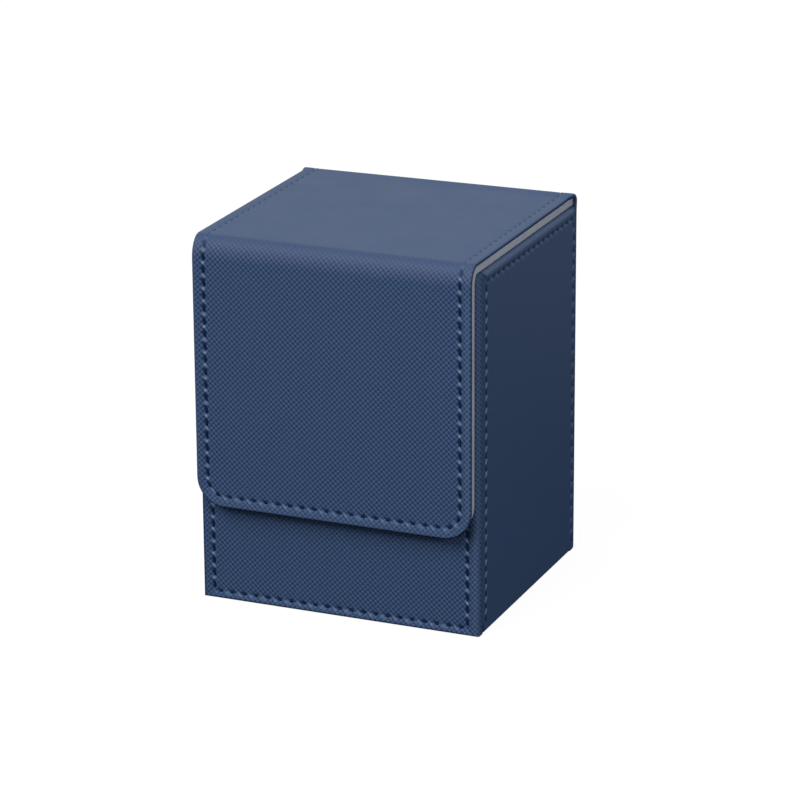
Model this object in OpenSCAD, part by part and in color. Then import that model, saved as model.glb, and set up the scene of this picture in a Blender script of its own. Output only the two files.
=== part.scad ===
// Card deck box: a leatherette box for a deck of sleeved cards. A one-piece outer
// sheet runs up the back, over the lid and down the front as a flap, which magnets
// hold shut. X is the width, the flap faces -Y, and the base rests on Z = 0.

/* [Box] */
// Width of the box across its two side walls
body_w = 80; // [76:1:110]
// Depth of the box from the front wall's face to the back sheet's face
body_d = 71.2; // [60:0.1:100]
// Height of the closed box, to the top of the lid
total_h = 102; // [90:1:130]

/* [Layers] */
// Thickness of the outer leatherette
skin_t = 1.0; // [0.8:0.1:1.2]
// Thickness of the greyboard in the walls and the base
board_t = 1.8; // [1.4:0.1:2.4]
// Thickness of the soft lining in the box
lining_t = 0.5; // [0.4:0.1:0.8]
// Thickness of the greyboard in the lid and the flap
lid_board_t = 1.0; // [0.8:0.1:1.4]
// Thickness of the lining wrapped round the lid's and the flap's board
wrap_t = 0.3; // [0.2:0.1:0.4]
// How far the walls' leatherette is turned down inside the rim
rim_turn = 6; // [5:0.5:10]

/* [Lid and flap] */
// How much narrower the lid is than the box, on each side
lid_inset = 0.8; // [0.4:0.1:1.5]
// Air between the walls' rim and the lid's lining
lid_gap = 0.4; // [0.3:0.1:1]
// Air between the front wall and the flap's lining
flap_gap = 1.2; // [0.8:0.1:2]
// Height of the flap's lower edge above the base
flap_z = 27.7; // [20:0.1:40]
// Radius of the flap's two lower corners
flap_corner_r = 8; // [6:0.5:12]
// Outer radius of the fold between the lid and the flap
fold_r = 3; // [2.8:0.1:4]
// Outer radius of the hinge bend at the top of the back
hinge_r = 1.5; // [1.3:0.1:2]
// Length of sheet with no board in it, on the lid's side of the hinge bend
hinge_reach = 4; // [3.5:0.5:6]
// Length of sheet with no board in it, below the hinge bend
hinge_drop = 3.5; // [3:0.5:6]

/* [Magnets] */
// Diameter of the closing magnets
magnet_d = 12; // [8:1:14]
// Distance between the two magnets' centres
magnet_spacing = 48; // [30:1:50]
// Height of the magnets' centres above the flap's lower edge
magnet_rise = 13.3; // [12:0.1:20]

/* [Stitching] */
// Distance from one stitch to the next
stitch_pitch = 3.5; // [3:0.1:5]
// Length of thread that shows in one stitch
stitch_l = 2.5; // [2:0.1:2.8]
// Width of the thread
thread_w = 0.6; // [0.4:0.1:0.7]
// Depth of the channel that the thread lies in
channel_depth = 0.3; // [0.2:0.1:0.4]
// Distance from the one-piece sheet's edges to the stitching beside them
sheet_margin = 3.1; // [2.8:0.1:4]
// Distance from the front wall's side edges, and from the rim, to the stitching
wall_margin = 3; // [2.5:0.1:4]
// Distance from the front wall's rear face to the side walls' first stitching
corner_margin = 1.6; // [1:0.1:4]
// Distance from the base and from the back to the walls' stitching
base_margin = 2.2; // [1.5:0.1:4]

/* [Hidden] */
$fn = 64;
cut = 1;                                   // overshoot of a cut past a face

wall_t = skin_t + board_t + lining_t;
lid_lining_t = lid_board_t + 2*wrap_t;     // lining, board, lining
lid_t = skin_t + lid_lining_t;
half_w = body_w/2;
half_d = (body_d + flap_gap + lid_t)/2;    // the flap counts in the depth
back_y = half_d;
front_y = back_y - body_d;
flap_y = -half_d;
rim_z = total_h - lid_t - lid_gap;         // top of the front and side walls
floor_z = skin_t + board_t;                // upper face of the base board
lining_top = rim_z - rim_turn;
lid_half_w = half_w - lid_inset;
inner_x = half_w - wall_t;                 // faces of the card compartment
inner_front = front_y + wall_t;
inner_back = back_y - wall_t;

// The bends' centres. The lid turns about the hinge's. The flap turns about a point
// nearer the corner, (1 - PI/4)*fold_r from each face, so the sheet keeps its length.
hinge_y = back_y - hinge_r;
hinge_z = total_h - hinge_r;
fold_y = flap_y + fold_r;
fold_z = total_h - fold_r;
fold_reach = 1;                            // sheet with no board beside the fold
back_top = hinge_z - hinge_drop;           // upper end of the back's board
lid_back = hinge_y - hinge_reach;          // rear end of the lid's board
lid_front = fold_y + fold_reach;           // front end of the lid's board
flap_top = fold_z - fold_reach;            // upper end of the flap's board

magnet_z = flap_z + magnet_rise;
board_edge = 1;                            // lining past the lid's and flap's board
wall_clearance = 0.1;                      // between hinge lining and side walls

channel_w = thread_w + 0.2;
run_end = 1;                               // from a run's end to a hinge or fold
wall_seam = half_w - wall_margin;          // front wall's side runs
sheet_seam = lid_half_w - sheet_margin;    // side runs of the one-piece sheet
rim_seam = rim_z - wall_margin;            // runs below the rim
corner_seam = inner_front + corner_margin; // side walls' front run
rear_seam = back_y - base_margin;          // side walls' rear run
flap_seam_r = flap_corner_r - sheet_margin;
arc_x = lid_half_w - flap_corner_r;        // centre of the flap's corner arcs
arc_z = flap_z + flap_corner_r;

// stitched runs, from end to end in each panel's own U and V
front_runs = [
    [[-wall_seam, base_margin], [-wall_seam, rim_seam]],
    [[wall_seam, base_margin], [wall_seam, rim_seam]],
    [[-wall_seam, base_margin], [wall_seam, base_margin]],
    [[-wall_seam, rim_seam], [wall_seam, rim_seam]]
];
side_runs = [
    [[corner_seam, base_margin], [corner_seam, rim_seam]],
    [[rear_seam, base_margin], [rear_seam, rim_seam]],
    [[corner_seam, rim_seam], [rear_seam, rim_seam]]
];
back_runs = [
    [[-sheet_seam, base_margin], [-sheet_seam, back_top - run_end]],
    [[sheet_seam, base_margin], [sheet_seam, back_top - run_end]],
    [[-sheet_seam, base_margin], [sheet_seam, base_margin]]
];
lid_runs = [
    [[-sheet_seam, lid_front + run_end], [-sheet_seam, lid_back - run_end]],
    [[sheet_seam, lid_front + run_end], [sheet_seam, lid_back - run_end]]
];
flap_runs = [
    [[-sheet_seam, arc_z], [-sheet_seam, flap_top - run_end]],
    [[sheet_seam, arc_z], [sheet_seam, flap_top - run_end]],
    [[-arc_x, flap_z + sheet_margin], [arc_x, flap_z + sheet_margin]]
];

navy = [0.20, 0.27, 0.39];
thread_navy = [0.13, 0.19, 0.30];
lining_grey = [0.56, 0.57, 0.60];
greyboard = [0.55, 0.52, 0.47];
nickel = [0.75, 0.75, 0.77];

// ---- places and shapes that several parts share ----

// A box between two opposite corners
module block(low, high) translate(low) cube(high - low);

// Panel planes: U and V lie in a panel's face and W points out of it
module on_front() translate([0, front_y, 0]) rotate([90, 0, 0]) children();
module on_flap() translate([0, flap_y, 0]) rotate([90, 0, 0]) children();
module on_back() translate([0, back_y, 0]) rotate([90, 0, 180]) children();
module on_right() translate([half_w, 0, 0]) rotate([90, 0, 90]) children();
module on_lid() translate([0, 0, total_h]) children();

// A profile drawn in Y and Z, drawn out to half_x on each side of X = 0
module across(half_x)
    translate([-half_x, 0, 0]) rotate([90, 0, 90]) linear_extrude(2*half_x) children();

// A bar of thread or of channel, sunk to its depth in a panel's face
module bar(centre, angle, length, width)
    translate([centre[0], centre[1], -channel_depth]) rotate([0, 0, angle])
        translate([-length/2, -width/2, 0])
            cube([length, width, width > thread_w ? channel_depth + cut : channel_depth]);

function along(run) = run[1] - run[0];
function heading(run) = atan2(along(run)[1], along(run)[0]);

// The channels that stitched runs lie in, to cut from a panel
module channels(runs)
    for (run = runs)
        bar((run[0] + run[1])/2, heading(run), norm(along(run)) + channel_w, channel_w);

// The stitches of each run, evenly spaced and clear of its ends
module stitches(runs)
    for (run = runs) {
        count = round(norm(along(run))/stitch_pitch);
        for (i = [0:count - 1])
            bar(run[0] + along(run)*(i + 0.5)/count, heading(run), stitch_l, thread_w);
    }

// The flap's outline below its fold, drawn in by an inset from its three edges
module flap_outline(inset) {
    r = flap_corner_r - inset;
    side = lid_half_w - inset;
    translate([-side, arc_z]) square([2*side, flap_top - arc_z]);
    translate([-arc_x, flap_z + inset]) square([2*arc_x, r + cut]);
    for (side_x = [-arc_x, arc_x]) translate([side_x, arc_z]) circle(r);
}

// A slab of the flap, between two depths below its face
module flap_slab(inset, top, bottom)
    on_flap() translate([0, 0, -bottom]) linear_extrude(bottom - top) flap_outline(inset);

module magnet(y, thickness)
    for (x = [-1, 1]*magnet_spacing/2)
        translate([x, y, magnet_z]) rotate([-90, 0, 0]) cylinder(h = thickness, d = magnet_d);

// ---- base: a panel between the four walls ----

module base_layer(low_z, high_z)
    block([-inner_x, inner_front, low_z], [inner_x, inner_back, high_z]);

module base_cover() color(navy) base_layer(0, skin_t);
module base_board() color(greyboard) base_layer(skin_t, floor_z);
module base_lining() color(lining_grey) base_layer(floor_z, wall_t);

// ---- front wall: a board with its leatherette turned in on all four edges ----

// The space that the leatherette wraps round, which the board fills
module front_core()
    block([-half_w + skin_t, front_y + skin_t, skin_t],
          [half_w - skin_t, inner_front - lining_t, rim_z - skin_t]);

module front_cover()
    color(navy) difference() {
        block([-half_w, front_y, 0], [half_w, inner_front, rim_z]);
        front_core();
        // where the lining meets the board
        block([-inner_x, inner_front - lining_t - cut, floor_z],
              [inner_x, inner_front + cut, lining_top]);
        on_front() channels(front_runs);
    }

module front_board()
    color(greyboard) difference() {
        front_core();
        magnet(front_y + skin_t, board_t);
    }

module front_lining()
    color(lining_grey)
        block([-inner_x, inner_front - lining_t, floor_z], [inner_x, inner_front, lining_top]);

module body_magnets() color(nickel) magnet(front_y + skin_t, board_t);

module front_stitching() color(thread_navy) on_front() stitches(front_runs);

// ---- side walls, drawn on the right and mirrored to the left ----

module wall_core()
    block([inner_x + lining_t, inner_front + skin_t, skin_t],
          [half_w - skin_t, back_y - 2*skin_t, rim_z - skin_t]);

module wall_cover()
    color(navy) difference() {
        block([inner_x, inner_front, 0], [half_w, back_y - skin_t, rim_z]);
        wall_core();
        // where the lining meets the board
        block([inner_x - cut, inner_front - cut, floor_z],
              [inner_x + lining_t + cut, back_y, lining_top]);
        on_right() channels(side_runs);
    }

module wall_board() color(greyboard) wall_core();

module wall_lining()
    color(lining_grey)
        block([inner_x, inner_front, floor_z], [inner_x + lining_t, back_y - skin_t, lining_top]);

module wall_stitching() color(thread_navy) on_right() stitches(side_runs);

module right_cover() wall_cover();
module right_board() wall_board();
module right_lining() wall_lining();
module right_stitching() wall_stitching();
module left_cover() mirror([1, 0, 0]) wall_cover();
module left_board() mirror([1, 0, 0]) wall_board();
module left_lining() mirror([1, 0, 0]) wall_lining();
module left_stitching() mirror([1, 0, 0]) wall_stitching();

// ---- back wall: the lower end of the one-piece sheet ----

module back_cover()
    color(navy) {
        difference() {
            block([-half_w, back_y - skin_t, 0], [half_w, back_y, back_top]);
            on_back() channels(back_runs);
        }
        // turned in under the board and up behind it
        block([-inner_x, inner_back, 0], [inner_x, back_y - skin_t, skin_t]);
        block([-inner_x, inner_back, 0], [inner_x, inner_back + lining_t, floor_z]);
    }

module back_board()
    color(greyboard)
        block([-inner_x, inner_back + lining_t, skin_t], [inner_x, back_y - skin_t, back_top]);

module back_lining()
    color(lining_grey)
        block([-inner_x, inner_back, floor_z], [inner_x, inner_back + lining_t, back_top]);

module back_stitching() color(thread_navy) on_back() stitches(back_runs);

// ---- hinge: sheet and lining with no board, which bend when the lid opens ----

// The quarter of the hinge between two radii, with straight ends
module hinge_profile(outer, inner) {
    translate([hinge_y, hinge_z]) intersection() {
        difference() {
            circle(outer);
            circle(inner);
        }
        square(2*outer);
    }
    translate([hinge_y + inner, back_top]) square([outer - inner, hinge_z - back_top]);
    translate([lid_back, hinge_z + inner]) square([hinge_reach, outer - inner]);
}

module hinge_leather() color(navy) across(lid_half_w) hinge_profile(hinge_r, hinge_r - skin_t);

module hinge_lining()
    color(lining_grey) {
        under_sheet = hinge_r - skin_t;
        lining_low = total_h - lid_t;
        across(lid_half_w) {
            translate([lid_back, lining_low])
                square([hinge_reach, hinge_z + under_sheet - lining_low]);
            translate([lid_back, lining_low])
                square([hinge_reach + under_sheet, hinge_z - lining_low]);
            translate([hinge_y, hinge_z]) circle(under_sheet);
        }
        across(inner_x - wall_clearance)
            translate([inner_back, back_top])
                square([back_y - skin_t - inner_back, lining_low - back_top]);
    }

// ---- lid ----

module lid_cover()
    color(navy) difference() {
        block([-lid_half_w, lid_front, total_h - skin_t], [lid_half_w, lid_back, total_h]);
        on_lid() channels(lid_runs);
    }

module lid_board()
    color(greyboard)
        block([-lid_half_w + board_edge, lid_front, total_h - lid_t + wrap_t],
              [lid_half_w - board_edge, lid_back, total_h - skin_t - wrap_t]);

module lid_lining()
    color(lining_grey) difference() {
        block([-lid_half_w, lid_front, total_h - lid_t],
              [lid_half_w, lid_back, total_h - skin_t]);
        block([-lid_half_w + board_edge, lid_front - cut, total_h - lid_t + wrap_t],
              [lid_half_w - board_edge, lid_back + cut, total_h - skin_t - wrap_t]);
    }

module lid_stitching() color(thread_navy) on_lid() stitches(lid_runs);

// ---- fold between the lid and the flap ----

// The quarter of the fold between two radii, with straight ends
module fold_profile(outer, inner) {
    translate([fold_y, fold_z]) {
        intersection() {
            difference() {
                circle(outer);
                circle(inner);
            }
            translate([-2*outer, 0]) square(2*outer);
        }
        translate([0, inner]) square([fold_reach, outer - inner]);
        translate([-outer, -fold_reach]) square([outer - inner, fold_reach]);
    }
}

module fold_leather() color(navy) across(lid_half_w) fold_profile(fold_r, fold_r - skin_t);

module fold_lining()
    color(lining_grey) across(lid_half_w) fold_profile(fold_r - skin_t, fold_r - lid_t);

// ---- flap ----

module flap_cover()
    color(navy) difference() {
        flap_slab(0, 0, skin_t);
        on_flap() {
            channels(flap_runs);
            // the channel round the two corners
            translate([0, 0, -channel_depth]) linear_extrude(channel_depth + cut)
                for (side = [-1, 1])
                    translate([side*arc_x, arc_z]) intersection() {
                        difference() {
                            circle(flap_seam_r + channel_w/2);
                            circle(flap_seam_r - channel_w/2);
                        }
                        translate([side > 0 ? 0 : -2*flap_seam_r, -2*flap_seam_r])
                            square(2*flap_seam_r);
                    }
        }
    }

module flap_board()
    color(greyboard) difference() {
        flap_slab(board_edge, skin_t + wrap_t, skin_t + wrap_t + lid_board_t);
        magnet(flap_y + skin_t + wrap_t, lid_board_t);
    }

module flap_lining()
    color(lining_grey) difference() {
        flap_slab(0, skin_t, lid_t);
        flap_slab(board_edge, skin_t + wrap_t, skin_t + wrap_t + lid_board_t);
        // open towards the fold, where the board was slid in
        block([-lid_half_w + board_edge, flap_y + skin_t + wrap_t, flap_top - cut],
              [lid_half_w - board_edge, flap_y + skin_t + wrap_t + lid_board_t, flap_top + cut]);
    }

module flap_magnets() color(nickel) magnet(flap_y + skin_t + wrap_t, lid_board_t);

module flap_stitching()
    color(thread_navy) on_flap() {
        stitches(flap_runs);
        quarter = flap_seam_r*PI/2;
        count = round(quarter/stitch_pitch);
        for (side = [-1, 1], i = [0:count - 1]) {
            turn = (i + 0.5)*90/count;
            bar([side*(arc_x + flap_seam_r*cos(turn)), arc_z - flap_seam_r*sin(turn)],
                side*(90 - turn), stitch_l, thread_w);
        }
    }

base_cover();
base_board();
base_lining();
front_cover();
front_board();
front_lining();
front_stitching();
left_cover();
left_board();
left_lining();
left_stitching();
right_cover();
right_board();
right_lining();
right_stitching();
back_cover();
back_board();
back_lining();
back_stitching();
body_magnets();
hinge_leather();
hinge_lining();
lid_cover();
lid_board();
lid_lining();
lid_stitching();
fold_leather();
fold_lining();
flap_cover();
flap_board();
flap_lining();
flap_magnets();
flap_stitching();
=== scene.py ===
"""Looks of the card deck box: wrapped leatherette panels, a one-piece sheet that runs up the back,
over the lid and down the flap, soft linings, and a stitch of thread in each pocket.
Shapes are worked out in millimetres and turned into metres when a mesh is made."""

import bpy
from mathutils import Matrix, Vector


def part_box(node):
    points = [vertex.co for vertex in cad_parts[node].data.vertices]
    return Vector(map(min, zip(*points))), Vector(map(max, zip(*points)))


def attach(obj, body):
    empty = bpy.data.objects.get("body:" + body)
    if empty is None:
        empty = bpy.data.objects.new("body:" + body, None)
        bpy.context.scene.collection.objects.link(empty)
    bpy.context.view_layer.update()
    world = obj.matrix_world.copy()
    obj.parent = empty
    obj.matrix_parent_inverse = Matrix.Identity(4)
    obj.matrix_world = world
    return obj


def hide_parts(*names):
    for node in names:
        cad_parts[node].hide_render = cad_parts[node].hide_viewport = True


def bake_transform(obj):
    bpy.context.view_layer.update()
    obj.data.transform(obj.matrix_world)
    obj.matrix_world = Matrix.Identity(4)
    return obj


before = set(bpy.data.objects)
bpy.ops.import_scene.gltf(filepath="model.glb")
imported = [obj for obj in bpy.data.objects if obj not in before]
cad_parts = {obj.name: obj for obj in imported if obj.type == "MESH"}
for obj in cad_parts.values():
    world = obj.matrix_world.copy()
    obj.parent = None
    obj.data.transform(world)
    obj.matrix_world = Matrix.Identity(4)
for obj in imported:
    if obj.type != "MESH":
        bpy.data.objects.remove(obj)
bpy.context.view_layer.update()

import copy
import math

import bmesh
import bpy
import numpy as np
from mathutils import Matrix, Vector
from mathutils.geometry import delaunay_2d_cdt

MM = 0.001


def node_box(node):
    """A CAD node's lowest and highest corners in millimetres."""
    low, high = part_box(node)
    return np.array(low) / MM, np.array(high) / MM


# ---- sizes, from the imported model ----

FRONT_LOW, FRONT_HIGH = node_box("front_cover")
WALL_LOW, WALL_HIGH = node_box("right_cover")
BACK_HIGH = node_box("back_cover")[1]
LID_LOW, LID_HIGH = node_box("lid_cover")
FLAP_LOW = node_box("flap_cover")[0]
LINING_LOW = node_box("lid_lining")[0]
BOARD_LOW, BOARD_HIGH = node_box("back_board")
INSIDE_LOW, INSIDE_HIGH = node_box("base_lining")
FRONT_LINING_LOW, FRONT_LINING_HIGH = node_box("front_lining")
BACK_LINING_LOW, BACK_LINING_HIGH = node_box("back_lining")

HALF_W = FRONT_HIGH[0]
LID_HALF_W = LID_HIGH[0]
WALL_T = FRONT_HIGH[1] - FRONT_LOW[1]
SHEET_T = LID_HIGH[2] - LID_LOW[2]
LID_T = LID_HIGH[2] - LINING_LOW[2]
BACK_Y = BACK_HIGH[1]
TOP_Z = LID_HIGH[2]
FLAP_Y = FLAP_LOW[1]
FLAP_Z = FLAP_LOW[2] - 0.08
BOTTOM_R = SHEET_T                # the sheet's turn round the back board's lower edge
HINGE_R = 2.1
FOLD_REACH, FOLD_DROP = 4.2, 6.0  # the fold's soft bend, along the lid and down the flap
SKIN_T = 0.78                     # the sheet's edges are skived along the lid and the flap
EDGE_KEPT = 0.45                  # how much of such an edge, next to its face, isn't skived
HINGE_SWELL, HINGE_SWELL_W = 0.28, 3.2
FLAP_CORNER_R = 8.0
SHEET_SEAM_Y, LINING_SEAM_Y = 31.0, 29.0    # on the lid, where the bending pieces meet the rest
LINING_INSET = 0.1                # the lid and flap's lining ends this far inside the sheet

# ---- stitching and grain ----

PITCH = 3.5                       # from one stitch to the next
STITCH_L = 2.45                   # of an upright stitch; level ones are shorter
THREAD_R = 0.3
THREAD_AROUND, THREAD_ALONG = 8, 11   # mesh points of one stitch's thread
SHEET_MARGIN = 3.15               # from the one-piece sheet's edge to its stitching
FRONT_MARGIN = 3.4
WALL_MARGIN = 3.0
CORNER_MARGIN = 1.4               # from a side wall's front edge to its first run
BASE_MARGIN = 2.2
SLANT = 0.45                      # how far each stitch leans towards one diagonal
POCKET_DEPTH = 0.34
TRENCH_DEPTH = 0.16
RIDGE_RISE = 0.16                 # leatherette pushed up between two stitches
RIDGE_L, RIDGE_W = 1.1, 0.31
RIM_RISE = 0.30                   # bulge between the stitching and an edge
HATCH_PITCH = 1.03                # from one ridge of the diagonal cross-hatch to the next

# ---- mesh density ----

ALONG = 0.36                      # between mesh columns along an edge
GRID = 3.2                        # between mesh lines inside a panel
BEND_STEP = 0.34                  # between mesh lines across a bend


# ---- panels: meshes drawn flat, then put in place ----

class Ring:
    """Points round a rounded rectangle, drawn in by an inset from each side.

    Sides are numbered bottom, right, top, left, and corner k follows side k. An open side has
    no points of its own, because another piece's edge continues there."""

    INWARD = np.array([[0, 1], [-1, 0], [0, -1], [1, 0]], float)

    def __init__(self, low, high, radii=(0, 0, 0, 0), open_side=None, step=ALONG):
        self.low, self.high = np.array(low, float), np.array(high, float)
        self.radii = np.array(radii, float)
        size = self.high - self.low
        first = 0 if open_side is None else open_side + 1
        order = [(first + i) % 4 for i in range(4 if open_side is None else 3)]
        kinds, indices, shares = [], [], []
        for side in order:
            straight = size[side % 2] - self.radii[side] - self.radii[side - 1]
            count = max(2, round(straight / step))
            kinds += [0] * (count + 1)
            indices += [side] * (count + 1)
            shares += list(np.linspace(0, 1, count + 1))
            if open_side is not None and side == order[-1]:
                break
            arc = max(3, round(self.radii[side] * math.pi / 2 / step))
            kinds += [1] * (arc - 1)
            indices += [side] * (arc - 1)
            shares += list(np.arange(1, arc) / arc)
        self.kind, self.index = np.array(kinds), np.array(indices)
        self.share = np.array(shares)
        self.closed = open_side is None
        # how much of each station belongs to its own side and to the next one
        on_corner = self.kind == 1
        self.next_index = np.where(on_corner, (self.index + 1) % 4, self.index)
        self.mix = np.where(on_corner, self.share, 0.0)

    def blend(self, values):
        """A value at each station from one value for each side."""
        values = np.array(values, float)
        return values[self.index] * (1 - self.mix) + values[self.next_index] * self.mix

    def points(self, insets):
        inset = np.array(insets, float)
        x = np.array([self.low[0] + inset[3], self.high[0] - inset[1]])
        y = np.array([self.low[1] + inset[0], self.high[1] - inset[2]])
        corner = np.array([[x[1], y[0]], [x[1], y[1]], [x[0], y[1]], [x[0], y[0]]])
        radius = np.maximum(self.radii - (inset + np.roll(inset, -1)) / 2, 0)
        centre = corner + radius[:, None] * (self.INWARD + np.roll(self.INWARD, -1, 0))
        start = centre - radius[:, None] * np.roll(self.INWARD, -1, 0)    # where side k+1 begins
        end = centre - radius[:, None] * self.INWARD                      # where side k ends
        side_from = start[self.index - 1]
        side_to = end[self.index]
        on_side = side_from + (side_to - side_from) * self.share[:, None]
        angle = (self.index - 1 + self.share) * math.pi / 2
        round_it = np.stack([np.cos(angle), np.sin(angle)], 1) * radius[self.index][:, None]
        on_arc = centre[self.index] + round_it
        return np.where((self.kind == 1)[:, None], on_arc, on_side)

    def holds(self, points, insets, clearance):
        """Which points lie inside the ring drawn in by the insets, with room to spare."""
        inset = np.array(insets, float)
        gap = np.stack([points[:, 1] - self.low[1] - inset[0],
                        self.high[0] - inset[1] - points[:, 0],
                        self.high[1] - inset[2] - points[:, 1],
                        points[:, 0] - self.low[0] - inset[3]], 1)
        inside = (gap > clearance).all(1)
        for k in range(4):
            radius = self.radii[k] - (inset[k] + inset[(k + 1) % 4]) / 2
            if radius <= 0:
                continue
            a, b = radius - gap[:, k], radius - gap[:, (k + 1) % 4]
            cut = (a > 0) & (b > 0) & (np.hypot(a, b) > radius - clearance)
            inside &= ~cut
        return inside


def edge_profile(thick, face_r, back_r, margin, lip=3.0, recess=0.0, flush=False):
    """The rows of one side of a panel, from the inner end of its lip, round the edge and on to
    the face, well inside the stitching. Each row is inset, depth, flat inset, and share of the
    way from the edge to the stitching. A flush side has no lip and no rounding at the back."""
    rows = [(lip, -thick + recess), (lip, -thick)]
    for a in np.linspace(0, math.pi / 2, 6):
        rows.append((back_r * (1 - math.sin(a)), -thick + back_r * (1 - math.cos(a))))
    for t in (1 / 3, 2 / 3):
        rows.append((0.0, (-thick + back_r) * (1 - t) - face_r * t))
    for a in np.linspace(0, math.pi / 2, 7):
        rows.append((face_r * (1 - math.cos(a)), -face_r * (1 - math.sin(a))))
    if flush:
        turn = len(rows) - 7
        rows = [(0.0, max(w, recess - thick)) if i < turn else (d, w)
                for i, (d, w) in enumerate(rows)]
    around = len(rows)
    core = min(0.9, (margin - face_r) * 0.8)
    face = np.concatenate([np.linspace(face_r, margin - core, 5)[1:],
                           np.linspace(margin - core, margin + 0.9, 11)[1:],
                           margin + np.array([1.3, 1.8, 2.5])])
    rows += [(d, 0.0) for d in face]
    rows = np.array(rows)
    step = np.hypot(*np.diff(rows, axis=0).T)
    beyond = np.cumsum(step[:around - 1][::-1])[::-1]
    flat = np.concatenate([face_r - beyond, rows[around - 1:, 0]])
    turn = 0.0 if flush else face_r * math.pi / 2
    share = np.maximum(flat - face_r + turn, 0) / (margin - face_r + turn)
    return np.column_stack([rows, flat, share])


def graded(low, high, step, fine=()):
    """Mesh lines between two limits: close near both, and as listed across the bends."""
    near = np.array([0.55, 1.4, 3.0])
    inner = np.linspace(low + 3, high - 3, max(2, round((high - low - 6) / step) + 1))
    lines = np.concatenate([low + near, inner[1:-1], high - near[::-1]])
    for a, b in fine:
        lines = lines[(lines < a - 0.4) | (lines > b + 0.4)]
        lines = np.concatenate([lines, np.linspace(a, b, round((b - a) / BEND_STEP) + 1)])
    return np.sort(lines)


def triangulate(loop, extra):
    """Triangles that fill a closed loop, through some points inside it. Indices count the
    loop's points first, then the extra ones."""
    coords = [Vector(p) for p in np.concatenate([loop, extra])]
    n = len(loop)
    edges = [(i, (i + 1) % n) for i in range(n)
             if (coords[i] - coords[(i + 1) % n]).length > 1e-6]
    found = delaunay_2d_cdt(coords, edges, [], 1, 1e-6)
    origin = [o[0] for o in found[3]]
    return [[origin[i] for i in face] for face in found[2]]


def build_mesh(name, points, faces, layers, sharp_angle=50):
    """A closed mesh in metres from points in millimetres, with one point attribute a layer."""
    mesh = bpy.data.meshes.new(name)
    mesh.from_pydata((np.asarray(points) * MM).tolist(), [], faces)
    for key, values in layers.items():
        vector = np.ndim(values) == 2
        made = mesh.attributes.new(key, "FLOAT_VECTOR" if vector else "FLOAT", "POINT")
        made.data.foreach_set("vector" if vector else "value",
                              np.asarray(values, np.float32).ravel())
    bm = bmesh.new()
    bm.from_mesh(mesh)
    bmesh.ops.remove_doubles(bm, verts=bm.verts, dist=2e-6)
    bmesh.ops.dissolve_degenerate(bm, edges=bm.edges, dist=1e-6)
    rim = [e for e in bm.edges if len(e.link_faces) == 1]
    if rim:
        bmesh.ops.holes_fill(bm, edges=rim, sides=0)
        bmesh.ops.triangulate(bm, faces=[f for f in bm.faces if len(f.verts) > 4])
    bmesh.ops.recalc_face_normals(bm, faces=bm.faces)
    bm.to_mesh(mesh)
    bm.free()
    mesh.polygons.foreach_set("use_smooth", [True] * len(mesh.polygons))
    mesh.set_sharp_from_angle(angle=math.radians(sharp_angle))
    mesh.update()
    piece = bpy.data.objects.new(name, mesh)
    bpy.context.scene.collection.objects.link(piece)
    return piece


def panel(name, ring, profiles, place, relief=None, looks=None, fine=()):
    """A closed slab. place() maps flat points and depths into the row frame, relief() gives the
    face's height at flat points, and looks() the leatherette's attributes."""
    profiles = np.array(profiles)                       # side, row, (inset, depth, flat, share)
    rows, columns = profiles.shape[1], len(ring.index)
    by_row = profiles.transpose(1, 2, 0)
    flat, skin = (np.concatenate([ring.points(row[k]) for row in by_row]) for k in (0, 2))
    depth, share = (np.concatenate([ring.blend(row[k]) for row in by_row]) for k in (1, 3))
    faces = []
    last = columns if ring.closed else columns - 1
    for k in range(rows - 1):
        a = k * columns
        for i in range(last):
            j = (i + 1) % columns
            faces.append((a + i, a + j, a + columns + j, a + columns + i))

    def fill(row, insets, height):
        """Closes one side of the slab inside a row of the ring."""
        nonlocal flat, depth, skin, share
        loop_ids = np.arange(row * columns, (row + 1) * columns)
        low = ring.low + (insets[3], insets[0])
        high = ring.high - (insets[1], insets[2])
        u_lines = graded(low[0], high[0], GRID)
        v_lines = graded(low[1], high[1], GRID, fine)
        grid = np.stack(np.meshgrid(u_lines, v_lines), -1).reshape(-1, 2)
        grid = grid[ring.holds(grid, insets, 0.3)]
        seam = np.zeros((0, 2))
        if not ring.closed:
            a, b = flat[loop_ids[-1]], flat[loop_ids[0]]
            across = u_lines if b[0] > a[0] else u_lines[::-1]
            seam = np.column_stack([across, np.full(len(across), a[1])])
        loop = np.concatenate([flat[loop_ids], seam])
        ids = np.concatenate([loop_ids, len(flat) + np.arange(len(seam) + len(grid))])
        faces.extend(tuple(int(ids[i]) for i in tri) for tri in triangulate(loop, grid))
        added = np.concatenate([seam, grid])
        flat = np.concatenate([flat, added])
        skin = np.concatenate([skin, added])
        depth = np.concatenate([depth, np.full(len(added), height)])
        share = np.concatenate([share, np.full(len(added), 9.0)])

    fill(0, profiles[:, 0, 0], depth[0])
    back_count = len(flat)
    fill(rows - 1, profiles[:, -1, 0], 0.0)
    on_face = share > 0
    on_face[rows * columns:back_count] = False
    level = depth.copy()
    layers = {"flat": np.column_stack([skin * MM, np.zeros(len(skin))])}
    if relief is not None:
        rise, *looks_there = relief(flat[on_face], share[on_face])
        depth[on_face] += rise
        for key, there in zip(("painted_highlight", "shade"), looks_there):
            layers[key] = np.zeros(len(flat))
            layers[key][on_face] = there
    if looks is not None:
        layers.update(looks(flat, level))
    return build_mesh(name, place(flat, depth), faces, layers)


# ---- stitching ----

def arc_points(centre, radius, start, stop, steps=12):
    angle = np.radians(np.linspace(start, stop, steps + 1))
    return [(centre[0] + radius * math.cos(a), centre[1] + radius * math.sin(a)) for a in angle]


def nowhere(flat, level=None):
    """A look that a piece doesn't have."""
    return np.zeros(len(flat))


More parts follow.
